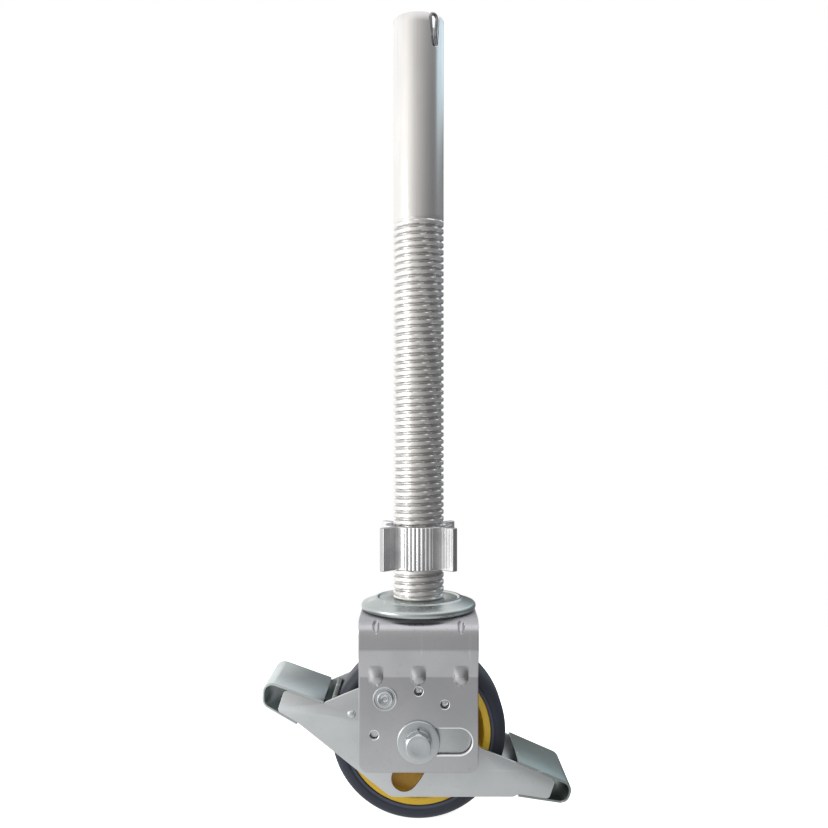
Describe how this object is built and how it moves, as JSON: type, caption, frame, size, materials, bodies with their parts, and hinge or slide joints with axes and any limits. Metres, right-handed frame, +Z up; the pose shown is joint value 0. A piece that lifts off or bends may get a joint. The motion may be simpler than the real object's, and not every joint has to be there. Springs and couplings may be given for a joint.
{
  "type": "adjustable leg castor",
  "caption": "Scaffold castor with a braked wheel in a folded steel fork, a ball swivel head and a threaded adjustable leg with a collar nut.",
  "frame": {"origin": "on the swivel axis at the top end of the leg", "axes": "+Z up along the leg and the swivel axis, +X towards the locking pedal in the plane of the wheel, Y along the wheel's axle"},
  "size_m": [0.2155, 0.0961, 0.5774],
  "materials": {
    "leg_aluminium": "satin, drawn along its length",
    "nut_aluminium": "satin, extruded",
    "turned_steel": "turned and zinc plated",
    "spring_wire": "drawn wire",
    "cap_zinc": "zinc plated, slightly green",
    "bearing_steel": "polished",
    "fastener_zinc": "zinc plated",
    "fork_zinc": "zinc plated satin sheet",
    "lever_zinc": "zinc plated satin sheet",
    "pedal_zinc": "zinc plated strip",
    "tyre_rubber": "smooth dark rubber",
    "core_yellow": "moulded nylon"
  },
  "bodies": {
    "leg": {"leg_tube": "leg_aluminium", "leg_plug": "turned_steel", "bearing_cap": "cap_zinc", "lower_cup": "turned_steel", "swivel_sleeve": "turned_steel", "kingbolt": "fastener_zinc"},
    "nut": {"leg_nut": "nut_aluminium"},
    "clip": {"retaining_clip": "spring_wire"},
    "fork": {"fork": "fork_zinc", "pivot_rivet_front": "fastener_zinc", "pivot_rivet_rear": "fastener_zinc", "pivot_washer_front": "fastener_zinc", "pivot_washer_rear": "fastener_zinc", "upper_balls": "bearing_steel", "lower_balls": "bearing_steel"},
    "rocker": {"lever_plate_front": "lever_zinc", "lever_plate_rear": "lever_zinc", "release_pedal": "pedal_zinc", "lock_pedal": "pedal_zinc", "brake_shoe": "pedal_zinc"},
    "axle": {"bearing_inner_rings": "bearing_steel", "hub_spacer": "turned_steel", "slot_bush_front": "turned_steel", "slot_bush_rear": "turned_steel", "axle_washer_front": "fastener_zinc", "axle_washer_rear": "fastener_zinc", "spring_washer": "fastener_zinc", "axle_bolt": "fastener_zinc", "axle_nut": "fastener_zinc"},
    "wheel": {"tyre": "tyre_rubber", "wheel_core": "core_yellow", "bearing_outer_rings": "bearing_steel", "bearing_balls": "bearing_steel"}
  },
  "joints": [
    {"name": "nut_travel", "type": "slide", "parent": "leg", "child": "nut", "axis": [0, 0, 1], "range_m": [-0.0205, 0.218]},
    {"name": "clip_press", "type": "hinge", "parent": "leg", "child": "clip", "pos_m": [0.01078, -0.01285, -0.0208], "axis": [-0.766, -0.6428, 0], "range_deg": [0, 7], "stiffness_Nm_per_rad": 0.05, "springref_deg": -2.86},
    {"name": "swivel", "type": "hinge", "parent": "leg", "child": "fork", "pos_m": [0, 0, -0.4285], "axis": [0, 0, 1], "continuous": true},
    {"name": "rocker_tilt", "type": "hinge", "parent": "fork", "child": "rocker", "pos_m": [-0.0232, 0, -0.4835], "axis": [0, -1, 0], "range_deg": [0, 46]},
    {"name": "axle_shift", "type": "slide", "parent": "fork", "child": "axle", "axis": [1, 0, 0], "range_m": [0, 0.027]},
    {"name": "wheel_spin", "type": "hinge", "parent": "axle", "child": "wheel", "pos_m": [0, 0, -0.5135], "axis": [0, 1, 0], "continuous": true}
  ],
  "couplings": [
    {"joint": "axle_shift", "follows": "rocker_tilt", "m_per_rad": 0.033629}
  ]
}
